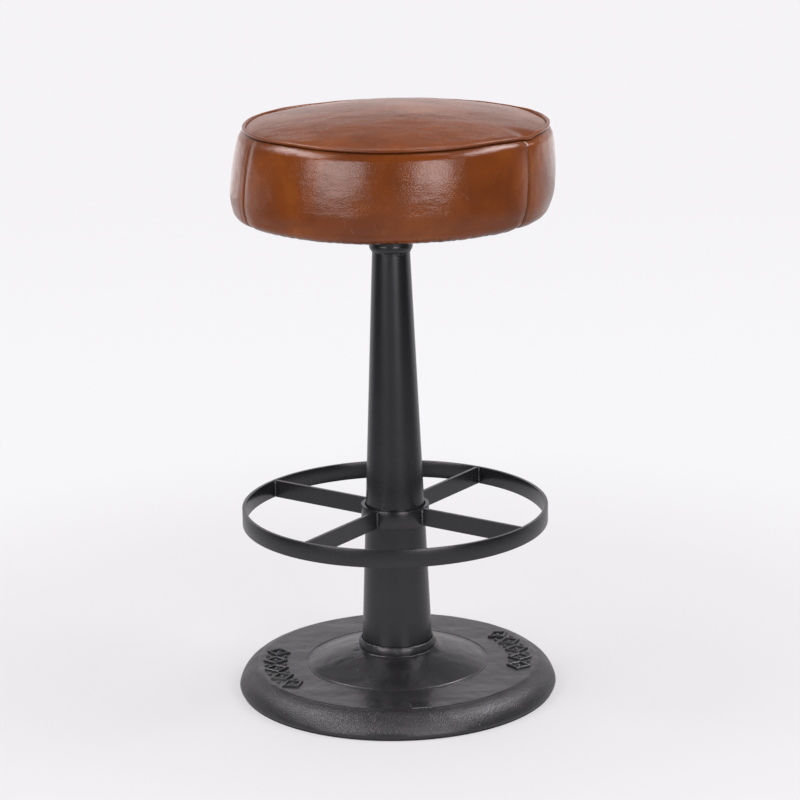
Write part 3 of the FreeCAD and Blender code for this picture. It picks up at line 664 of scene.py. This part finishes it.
def cushion_mesh(skin):
    """The whole upholstered drum as one closed form, with its seams and pleats."""
    state = {}

    def shape(grid, outline, azimuths):
        rows, columns = grid.shape[:2]
        flat = grid.reshape(-1, 3)
        radius, height = outline[:, 0, None], outline[:, 1, None]
        outside = np.ones((rows, 1))
        outside[-len(pocket_outline()):] = 0
        side = outside * np.clip((SIDE_TOP - height) / 0.004, 0, 1)
        side = side * np.clip((radius - 0.150) / 0.008, 0, 1)
        top = outside * np.clip((height - 0.6495) / 0.003, 0, 1)
        shown = np.maximum(side, top)
        out = np.gradient(outline, axis=0)
        length = np.hypot(out[:, 0], out[:, 1]) + 1e-12
        turn = np.radians(azimuths)[None, :]
        outward, upward = (-out[:, 1] / length)[:, None], (out[:, 0] / length)[:, None]
        ways = np.stack([outward * np.cos(turn), outward * np.sin(turn), upward * np.ones_like(turn)], 2)

        seam_push, seam_shade = seam_marks(azimuths, radius, side)
        pleat_push, pleat_shade = pleat_marks(azimuths, height, outside)
        push = seam_push + pleat_push
        push = push + 0.0004 * smooth_noise(flat, 0.045, 1, 3).reshape(rows, columns) * shown
        push = push + 0.0007 * smooth_noise(flat, 0.11, 2, 2).reshape(rows, columns) * shown
        if skin is not None:
            push = push + settled_push(grid, ways, shown[:, 0] > 0, radius, skin) * shown

        # Painted shade: an uneven dark line along the hem's lowest millimetre and another in the groove
        # under the welt. Together with the seam and pleat shade, it is stored on the mesh for the
        # leather's colour.
        hem_shade_amount = np.clip(0.75 + 0.9 * smooth_noise(flat, 0.03, 9, 2).reshape(rows, columns), 0.15, 1)
        hem_shade = hem_shade_amount * outside * np.clip((0.5536 - height) / 0.0012, 0, 1)
        groove_shade = 0.9 * outside * bell(height - GROOVE_HEIGHT, 0.0008) * (radius > 0.16)
        painted_crease_shade = np.maximum(np.maximum(seam_shade, pleat_shade), np.maximum(groove_shade, hem_shade))

        moved = grid + push[:, :, None] * ways
        wander = np.array([welt_wander(azimuth) for azimuth in azimuths])[None, :]
        near_welt = outside * bell(height - PIPING_HEIGHT, 0.0075) * np.clip((radius - 0.13) / 0.03, 0, 1)
        moved[:, :, 2] += wander * near_welt
        lowest = HEM_UNDERSIDE - 0.0006
        moved[:, :, 2] = np.where(outside > 0, np.maximum(moved[:, :, 2], lowest), moved[:, :, 2])
        rise = (moved[:, :, 2] - HEM_UNDERSIDE) / (PIPING_HEIGHT - HEM_UNDERSIDE)
        moved[:, :, 0] += outside * (FOOT_OFF_CENTRE + TOP_OFF_CENTRE * np.clip(rise, 0, 1))
        state["painted_crease_shade"] = painted_crease_shade.reshape(-1)
        state["points"] = moved.reshape(-1, 3)
        return moved

    mesh = turned_mesh("cushion", skin_outline() + pocket_outline(), seam_spacing(), shape)
    finder = {tuple(np.round(p, 6)): c
              for p, c in zip(state["points"].tolist(), state["painted_crease_shade"].tolist())}
    values = [finder.get(tuple(np.round(v.co, 6)), 0.0) for v in mesh.vertices]
    mesh.attributes.new("painted_crease_shade", "FLOAT", "POINT").data.foreach_set("value", values)
    return mesh


def build_cushion():
    mesh = cushion_mesh(settled_skin())
    cushion = new_piece("cushion", mesh, "seat", leather)
    mesh.materials.append(foam)
    for polygon in mesh.polygons:
        x, y, z = polygon.center
        level = HEM_UNDERSIDE + 0.0012 < z < POCKET_TOP + 0.0002
        inside_pocket = level and math.hypot(x, y) < POCKET_RADIUS + 0.0001
        polygon.material_index = 1 if inside_pocket else 0
    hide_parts("seat_foam", "top_panel", "side_panel_1", "side_panel_2", "side_panel_3")
    return cushion


def build_welt():
    """Piping: a cord wrapped in leather, swept round the top edge."""
    columns, around = 540, 14
    vertices, faces = [], []
    for j in range(columns):
        azimuth = 360 * j / columns
        turn = math.radians(azimuth)
        radius = PIPING_CIRCLE + 0.0003 * math.sin(3 * turn + 0.7)
        height = PIPING_HEIGHT - 0.0002 + welt_wander(azimuth)
        thick = WELT_RADIUS + 0.00008 * math.sin(29 * turn)
        for k in range(around):
            angle = 2 * math.pi * k / around
            out = radius + thick * math.cos(angle)
            level = height + 0.95 * thick * math.sin(angle)
            aside = TOP_OFF_CENTRE + FOOT_OFF_CENTRE
            vertices.append((aside + out * math.cos(turn), out * math.sin(turn), level))
            after, over = (j + 1) % columns, (k + 1) % around
            faces.append((j * around + k, after * around + k, after * around + over, j * around + over))
    mesh = bpy.data.meshes.new("welt")
    mesh.from_pydata(vertices, [], faces)
    welt = new_piece("welt", mesh, "seat", welt_leather)
    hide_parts("seat_piping")


def base_upper_outline():
    """Rim, shoulder, flat, dome, hub and the column's socket, as (radius, height) points."""
    shoulder, flat_start = (SHOULDER_RADIUS, BASE_TOP - 0.0006), (SHOULDER_RADIUS - 0.0026, BASE_TOP)
    ring_outside, ring_inside = (DOME_RADIUS + 0.0034, BASE_TOP), (DOME_RADIUS + 0.0024, BASE_TOP)
    dome_foot, dome_start = (DOME_RADIUS, BASE_TOP + 0.0001), (DOME_RADIUS - 0.0009, BASE_TOP + 0.0009)
    dome_end, hub_edge = (DOME_TOP_RADIUS, DOME_TOP), (0.0419, HUB_TOP)
    points = arc((BASE_FOOT_RADIUS, BASE_UNDERSIDE), (BASE_RADIUS, 0.005), -0.0003, 4)
    points += arc((BASE_RADIUS, 0.005), shoulder, -0.0042, 26)
    points += arc(shoulder, flat_start, -0.00012, 6)
    points += arc(flat_start, ring_outside, 0.0, 36)
    points += arc(ring_outside, ring_inside, 0.0005, 4)
    points += arc(ring_inside, dome_foot, 0.0, 3)
    points += arc(dome_foot, dome_start, 0.0, 3)
    points += arc(dome_start, dome_end, -0.0018, 34)
    points += arc(dome_end, hub_edge, -0.0011, 14)
    points += [(0.0415, HUB_TOP + 0.0002), (0.0399, HUB_TOP - 0.0002)]
    points += [(SOCKET_RADIUS, SOCKET_FLOOR), (BOLT_HOLE_RADIUS, SOCKET_FLOOR)]
    return points


def base_under_outline():
    """The boss for the bolt and the hollow underside."""
    boss_corner, dome_wall = (BOSS_RADIUS, 0.022), (0.042, 0.030)
    rim_foot = (BASE_FOOT_RADIUS - 0.0085, BASE_UNDERSIDE)
    points = [(BOLT_HOLE_RADIUS, BOSS_UNDERSIDE), (BOSS_RADIUS, BOSS_UNDERSIDE)]
    points += arc(boss_corner, dome_wall, 0.0024, 5)
    points += arc(dome_wall, (DOME_HOLLOW_RADIUS, HOLLOW_TOP), 0.0018, 12)
    points += [(DOME_HOLLOW_RADIUS, HOLLOW_TOP)]
    points += arc((RIM_HOLLOW_RADIUS, HOLLOW_TOP), rim_foot, 0.0042, 10)
    points += [rim_foot]
    return points


def build_base():
    """The casting, uneven as sand casting leaves it, with a lip in front and a lumpy hub."""
    upper = base_upper_outline()

    def shape(grid, outline, azimuths):
        rows, columns = grid.shape[:2]
        flat = grid.reshape(-1, 3)
        radius, height = outline[:, 0, None], outline[:, 1, None]
        shown = np.clip((radius - 0.0415) / 0.004, 0, 1) * np.clip((height - 0.004) / 0.004, 0, 1)
        shown = shown * (np.arange(rows)[:, None] < len(upper))
        lift = 0.00045 * smooth_noise(flat, 0.05, 5, 3).reshape(rows, columns)
        lift += 0.00018 * smooth_noise(flat, 0.012, 6, 3).reshape(rows, columns)
        in_front = np.exp(-((turned_apart(azimuths, -90)[None, :] / 48) ** 4))
        at_shoulder = bell(radius - SHOULDER_RADIUS + 0.0013, 0.0011) * (height > 0.02)
        near_hub = np.clip((height - 0.0435) / 0.002, 0, 1) * (radius > 0.0405)
        worn = smooth_noise(flat, 0.013, 8, 3).reshape(rows, columns)
        swollen = 0.0004 * worn * near_hub
        grown = bell(turned_apart(azimuths, 50)[None, :], 75) * bell(radius - 0.0455, 0.0045)
        turn = np.radians(azimuths)[None, :]
        moved = grid.copy()
        moved[:, :, 0] += swollen * np.cos(turn)
        moved[:, :, 1] += swollen * np.sin(turn)
        moved[:, :, 2] += lift * shown + swollen - SHOULDER_LIP_DEPTH * in_front * at_shoulder
        moved[:, :, 2] += 0.0032 * grown * (radius > 0.0425) * (height < 0.05)
        return moved

    azimuths = np.linspace(0, 360, 540, endpoint=False)
    mesh = turned_mesh("base", upper + base_under_outline(), azimuths, shape)
    base = new_piece("base", mesh, "pedestal", cast_black)
    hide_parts("base_casting")


def turned_place(radius, sideways, turn, height):
    """A point at a radius along a direction, and aside from it."""
    return (radius * math.cos(turn) - sideways * math.sin(turn),
            radius * math.sin(turn) + sideways * math.cos(turn), height)


def lozenge_frame(shell, azimuth):
    """A raised lozenge-shaped frame with sloping sides, on the base's flat."""
    turn = math.radians(azimuth)
    rings = []
    sloping = 0.6 * LOZENGE_HEIGHT
    for share, level in ((0.0, -ORNAMENT_SUNK), (0.08, sloping), (0.25, LOZENGE_HEIGHT),
                         (0.75, LOZENGE_HEIGHT), (0.92, sloping), (1.0, -ORNAMENT_SUNK)):
        along, across = LOZENGE_ALONG - share * LOZENGE_STROKE, LOZENGE_ACROSS - share * LOZENGE_STROKE
        rings.append([shell.verts.new(turned_place(ORNAMENT_CIRCLE + b * across, a * along, turn,
                                                   BASE_TOP + level))
                      for a, b in ((1, 0), (0, 1), (-1, 0), (0, -1))])
    for lower, upper in zip(rings, rings[1:] + rings[:1]):
        for k in range(4):
            after = (k + 1) % 4
            shell.faces.new((lower[k], lower[after], upper[after], upper[k]))


def raised_dot(shell, radius, azimuth, size, height):
    turn = math.radians(azimuth)
    x0, y0 = radius * math.cos(turn), radius * math.sin(turn)
    rings = []
    for share, level in ((1.0, -ORNAMENT_SUNK), (0.95, 0.3 * height), (0.78, 0.75 * height),
                         (0.45, height)):
        out = size * share
        rings.append([shell.verts.new((x0 + out * math.cos(a), y0 + out * math.sin(a), BASE_TOP + level))
                      for a in np.linspace(0, 2 * math.pi, 16, endpoint=False)])
    close_rings(shell, rings)


def close_rings(shell, rings):
    """Skins a stack of rings of vertices and closes both ends."""
    for lower, upper in zip(rings, rings[1:]):
        for k in range(len(lower)):
            after = (k + 1) % len(lower)
            shell.faces.new((lower[k], lower[after], upper[after], upper[k]))
    shell.faces.new(rings[-1])
    shell.faces.new(list(reversed(rings[0])))


def build_ornament():
    """Raised lozenges and dots in two bows on the base's flat, and a low blank pad in front."""
    shell = bmesh.new()
    for middle in ORNAMENT_MIDDLES:
        for k in range(-2, 3):
            lozenge_frame(shell, middle + LOZENGE_STEP * k)
            raised_dot(shell, ORNAMENT_CIRCLE, middle + LOZENGE_STEP * k, **MIDDLE_DOT)
        for k in range(-2, 2):
            for side in (-1, 1):
                raised_dot(shell, ORNAMENT_CIRCLE + SIDE_DOT_OFFSET * side,
                           middle + LOZENGE_STEP * (k + 0.5), **SIDE_DOT)
    turn = math.radians(PAD_AZIMUTH)
    rings = []
    for grown, level in ((0.0005, -ORNAMENT_SUNK), (0.0003, PAD_HEIGHT - 0.0003), (-0.0003, PAD_HEIGHT)):
        along, across = PAD_ALONG + grown, PAD_ACROSS + grown
        rings.append([shell.verts.new(turned_place(PAD_CIRCLE + b * across, a * along, turn,
                                                   BASE_TOP + level))
                      for a, b in ((1, 1), (-1, 1), (-1, -1), (1, -1))])
    close_rings(shell, rings)
    ornament = piece_from_shell("base_ornament", shell, "pedestal", cast_black, smooth=False)
    rounded = ornament.modifiers.new("rounded", "BEVEL")
    rounded.width = 0.0005
    rounded.segments = 2
    rounded.limit_method = "ANGLE"


def piece_from_shell(name, shell, body, material, smooth=True):
    bmesh.ops.recalc_face_normals(shell, faces=shell.faces)
    mesh = bpy.data.meshes.new(name)
    shell.to_mesh(mesh)
    shell.free()
    return new_piece(name, mesh, body, material, smooth)


def weld_bead(shell, path, seed):
    """A bead laid along a path of points: a row of overlapping ripples."""
    random.seed(seed)
    rings = []
    for k, (point, forward) in enumerate(path):
        forward = Vector(forward).normalized()
        side = forward.orthogonal().normalized()
        other = forward.cross(side)
        ripple = 1.0 + 0.13 * math.sin(k * 1.9) + random.uniform(-0.06, 0.06)
        if k in (0, len(path) - 1):
            ripple *= 0.45
        rings.append([shell.verts.new(Vector(point) + BEAD_RADIUS * ripple
                                      * (side * math.cos(a) + other * math.sin(a)))
                      for a in np.linspace(0, 2 * math.pi, 10, endpoint=False)])
    close_rings(shell, rings)


def build_welds():
    """Beads in the corners of the foot ring, where the spokes meet the collar and the hoop."""
    shell = bmesh.new()
    foot = FOOT_RING_TOP - FLAT_BAR_HEIGHT
    seed = 1
    for spoke in SPOKE_AZIMUTHS:
        turn = math.radians(spoke)
        for radius in (COLLAR_RADIUS, HOOP_INNER_RADIUS):
            for side in (-1, 1):
                along = math.sqrt(radius**2 - FLAT_BAR_HALF**2)
                along += 0.0004 if radius == COLLAR_RADIUS else -0.0004
                x, y, z = turned_place(along, side * (FLAT_BAR_HALF + 0.0004), turn, foot + 0.0007)
                path = [((x, y, z + t * (FLAT_BAR_HEIGHT - 0.0014)), (0, 0, 1))
                        for t in np.linspace(0, 1, 22)]
                weld_bead(shell, path, seed)
                seed += 1
    welds = piece_from_shell("foot_ring_welds", shell, "pedestal", satin_black)
    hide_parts("foot_welds")


def build_housing_weld():
    """The lumpy bead between the housing's lip and the column, thicker where it starts."""
    shell = bmesh.new()
    rings = []
    random.seed(5)
    around = 10
    for azimuth in range(0, 360, 4):
        turn = math.radians(azimuth)
        lump = 0.0006 * bell((azimuth - HOUSING_BEAD_START) % 360, 5.0)
        thick = 0.00085 + 0.0003 * math.sin(5 * turn) + random.uniform(-0.0001, 0.0001) + lump
        level = COLUMN_TOP - 0.0004 + 0.0007 * math.sin(2 * turn + 0.4) + 0.0004 * math.sin(7 * turn)
        ring = []
        for a in np.linspace(0, 2 * math.pi, around, endpoint=False):
            out = COLUMN_TOP_RADIUS + 0.0003 + thick * math.cos(a)
            ring.append(shell.verts.new((out * math.cos(turn), out * math.sin(turn),
                                         level + thick * math.sin(a))))
        rings.append(ring)
    for here, ahead in zip(rings, rings[1:] + rings[:1]):
        for k in range(around):
            after = (k + 1) % around
            shell.faces.new((here[k], here[after], ahead[after], ahead[k]))
    weld = piece_from_shell("housing_bead", shell, "pedestal", satin_black)
    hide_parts("housing_weld")


def build_stitches(cushion):
    """A row of small stitches beside each side seam."""
    shell = bmesh.new()
    skin = BVHTree.FromObject(cushion, bpy.context.evaluated_depsgraph_get())
    for seam in SEAM_AZIMUTHS:
        turn = math.radians(seam) + STITCH_ASIDE / BULGE_RADIUS * lap_side(seam)
        outward = Vector((math.cos(turn), math.sin(turn), 0))
        for level in np.arange(0.5575, 0.6445, STITCH_SPACING):
            ends = []
            for height in (level, level + STITCH_LENGTH):
                start = Vector((TOP_OFF_CENTRE / 2, 0, height)) + 0.25 * outward
                ends.append(skin.ray_cast(start, -outward)[0] - 0.00005 * outward)
            forward = (ends[1] - ends[0]).normalized()
            aside = forward.cross(outward).normalized()
            rings = []
            for share in (0.0, 0.12, 0.5, 0.88, 1.0):
                wide = STITCH_RADIUS * (0.35 + 0.65 * math.sin(math.pi * share))
                middle = ends[0].lerp(ends[1], share)
                rings.append([shell.verts.new(middle + wide * (aside * math.cos(a)
                                                               + 0.6 * outward * math.sin(a)))
                              for a in np.linspace(0, 2 * math.pi, 6, endpoint=False)])
            close_rings(shell, rings)
    piece_from_shell("seam_stitches", shell, "seat", thread)


def build_dust_cover():
    """Black cloth stretched under the board, sagging a little between its staples."""
    rows, columns = 20, 240
    vertices, faces = [], []
    upper = HEM_UNDERSIDE - 0.0001
    for level in (upper, upper - COVER_THICKNESS):
        for radius in np.linspace(COVER_INNER_RADIUS, COVER_OUTER_RADIUS, rows):
            for j in range(columns):
                turn = 2 * math.pi * j / columns
                between = 0.5 - 0.5 * math.cos(STAPLE_COUNT * turn)
                sag = 0.00028 * between * bell(radius - STAPLE_CIRCLE, 0.012)
                vertices.append((radius * math.cos(turn), radius * math.sin(turn), level - sag))
    size = rows * columns
    for i in range(rows - 1):
        for j in range(columns):
            a, b = i * columns + j, i * columns + (j + 1) % columns
            c, d = b + columns, a + columns
            faces.append((a, b, c, d))
            faces.append((size + d, size + c, size + b, size + a))
    last = (rows - 1) * columns
    for j in range(columns):
        b = (j + 1) % columns
        faces.append((b, j, size + j, size + b))
        faces.append((last + j, last + b, size + last + b, size + last + j))
    mesh = bpy.data.meshes.new("underside_cloth")
    mesh.from_pydata(vertices, [], faces)
    cover = new_piece("underside_cloth", mesh, "seat", cover_cloth)
    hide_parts("dust_cover")


def dress(names, material, bevel=0.0):
    """A new material, and softened edges, for CAD nodes that stay as they are."""
    for name in names:
        node = nodes[name]
        node.data.materials.clear()
        node.data.materials.append(material)
        if bevel:
            joined = node.modifiers.new("joined", "WELD")
            joined.merge_threshold = 1e-6
            rounded = node.modifiers.new("rounded", "BEVEL")
            rounded.width = bevel
            rounded.segments = 2
            rounded.limit_method = "ANGLE"
            rounded.angle_limit = math.radians(50)


def dress_nodes():
    spokes = [f"foot_spoke_{k}" for k in (1, 2, 3, 4)]
    dress(["foot_hoop", "foot_collar"] + spokes, satin_black, 0.0005)
    dress(["column_tube", "swivel_housing", "seat_plate", "spindle_weld"], satin_black)
    dress(["column_foot_plug", "base_bolt", "base_washer", "bearing_tube", "centring_ring", "lower_race",
           "upper_race", "ball_cage", "spindle", "retaining_washer", "retaining_nut", "seat_screws",
           "tee_nuts", "staples", "foot_grub_screws"], bare_steel)
    dress(["thrust_balls"], bright_steel)
    dress(["upper_bush", "lower_bush"], bronze)
    dress(["base_floor_ring"], rubber)
    dress(["seat_board"], plywood)


def build_floor():
    """Pale floor that keeps a soft shadow, with painted shade near the stool and a painted glow for
    reflections, and shows as even paper further away.
    """
    shell = bmesh.new()
    bmesh.ops.create_circle(shell, cap_ends=True, radius=FLOOR_RADIUS, segments=96)
    mesh = bpy.data.meshes.new("floor")
    shell.to_mesh(mesh)
    shell.free()
    floor = bpy.data.objects.new("floor", mesh)
    bpy.context.scene.collection.objects.link(floor)
    material = bpy.data.materials.new("pale_floor")
    material.use_nodes = True
    tree = material.node_tree
    tree.nodes.clear()
    where = tree.nodes.new("ShaderNodeTexCoord").outputs["Object"]
    axes = add(tree, "ShaderNodeSeparateXYZ", {0: where}).outputs
    back = axes["Y"]
    far = add(tree, "ShaderNodeVectorMath", {0: where}, operation="LENGTH").outputs["Value"]
    lit_front = spread(tree, back, -1.7, -0.6)
    sheet = mixed(tree, lit_front, rgb(0.36, 0.36, 0.37), rgb(0.62, 0.61, 0.63))
    paper = add(tree, "ShaderNodeBsdfDiffuse", {"Color": sheet})
    # Painted shade: the floor's glow is darker near the stool and brightens over about a metre.
    away = spread(tree, far, 0.2, 1.2)
    tone = mixed(tree, away, rgb(0.905, 0.9, 0.915), rgb(0.94, 0.93, 0.95))
    tone = mixed(tree, spread(tree, back, 0.2, 3.2), tone, rgb(0.912, 0.897, 0.922))
    aside = spread(tree, math_node(tree, "ABSOLUTE", axes["X"]), 0.8, 2.2)
    # Painted reflection: for glossy rays the floor glows, pale under and behind the stool and dark to the
    # sides, and the stool's gloss shows it.
    mirrored = mixed(tree, aside, rgb(0.42, 0.42, 0.43), rgb(0.07, 0.07, 0.07))
    mirrored = mixed(tree, spread(tree, back, 0.2, 1.4), mirrored, rgb(0.75, 0.74, 0.76))
    path = tree.nodes.new("ShaderNodeLightPath").outputs
    tone = mixed(tree, path["Is Camera Ray"], mirrored, tone)
    glow = add(tree, "ShaderNodeEmission", {"Color": tone, "Strength": 1.0})
    see_through = tree.nodes.new("ShaderNodeBsdfTransparent")
    seen = math_node(tree, "MAXIMUM", path["Is Camera Ray"], path["Is Glossy Ray"])
    share = math_node(tree, "MULTIPLY", seen, spread(tree, away, 0.0, 1.0, 0.5, 1.0))
    lit = add(tree, "ShaderNodeMixShader", {0: share, 1: paper.outputs[0], 2: glow.outputs[0]})
    below = tree.nodes.new("ShaderNodeNewGeometry").outputs["Backfacing"]
    done = add(tree, "ShaderNodeMixShader", {0: below, 1: lit.outputs[0], 2: see_through.outputs[0]})
    end = tree.nodes.new("ShaderNodeOutputMaterial")
    tree.links.new(done.outputs[0], end.inputs["Surface"])
    mesh.materials.append(material)


def soft_box(name, place, aim, size, power):
    """A soft box that the camera itself doesn't see."""
    light = bpy.data.lights.new(name, "AREA")
    light.shape = "RECTANGLE"
    light.size, light.size_y = size
    light.energy = power
    light.color = BOX_COLOUR
    lamp = bpy.data.objects.new(name, light)
    bpy.context.scene.collection.objects.link(lamp)
    lamp.location = place
    lamp.rotation_euler = (Vector(aim) - Vector(place)).to_track_quat("-Z", "Y").to_euler()
    lamp.visible_camera = False


def build_lights():
    world = bpy.data.worlds.new("studio")
    bpy.context.scene.world = world
    world.use_nodes = True
    tree = world.node_tree
    tree.nodes.clear()
    path = tree.nodes.new("ShaderNodeLightPath").outputs
    direction = tree.nodes.new("ShaderNodeTexCoord").outputs["Generated"]
    axes = add(tree, "ShaderNodeSeparateXYZ", {0: direction}).outputs
    behind = spread(tree, axes["Y"], 0.0, 0.5, ROOM_LIGHT, 3.0 * ROOM_LIGHT)
    room = add(tree, "ShaderNodeBackground", {"Color": rgb(1.0, 0.995, 1.0), "Strength": behind})
    paper = add(tree, "ShaderNodeBackground", {"Color": rgb(0.908, 0.898, 0.922), "Strength": 1.0})
    chosen = add(tree, "ShaderNodeMixShader",
                 {0: path["Is Camera Ray"], 1: room.outputs[0], 2: paper.outputs[0]})
    end = tree.nodes.new("ShaderNodeOutputWorld")
    tree.links.new(chosen.outputs[0], end.inputs["Surface"])
    soft_box("left_box", (-1.64, -1.75, 1.22), (0, 0, 0.6), (1.5, 0.6), 20.0)
    soft_box("left_low_box", (-1.5, -1.85, 0.68), (0, 0, 0.6), (1.2, 0.5), 7.5)
    soft_box("right_box", (1.05, -2.16, 0.95), (0, 0, 0.55), (1.05, 1.1), 24.0)
    soft_box("high_left", (-1.75, -0.1, 2.05), (0, 0, 0.6), (1.6, 0.8), 33.0)
    soft_box("high_right", (1.75, -0.05, 2.05), (0, 0, 0.6), (1.8, 0.8), 44.0)
    soft_box("overhead", (0, 0.4, 2.7), (0, 0, 0.6), (1.7, 1.3), 24.0)
    soft_box("back_panel", (0, 3.0, 0.9), (0, 0, 0.9), (7.0, 1.8), 27.0)


def build_camera():
    data = bpy.data.cameras.new("camera")
    data.sensor_width = CAMERA_SENSOR
    data.lens = CAMERA_LENS
    camera = bpy.data.objects.new("camera", data)
    bpy.context.scene.collection.objects.link(camera)
    camera.matrix_world = (Matrix.Translation(CAMERA_PLACE)
                           @ Matrix.Rotation(math.pi / 2 - CAMERA_PITCH, 4, "X")
                           @ Matrix.Rotation(-CAMERA_ROLL, 4, "Z"))
    bpy.context.scene.camera = camera


build_camera()
cushion = build_cushion()
build_stitches(cushion)
build_welt()
build_base()
build_ornament()
build_welds()
build_housing_weld()
build_dust_cover()
dress_nodes()
build_floor()
build_lights()
bpy.context.scene.view_settings.view_transform = "Standard"
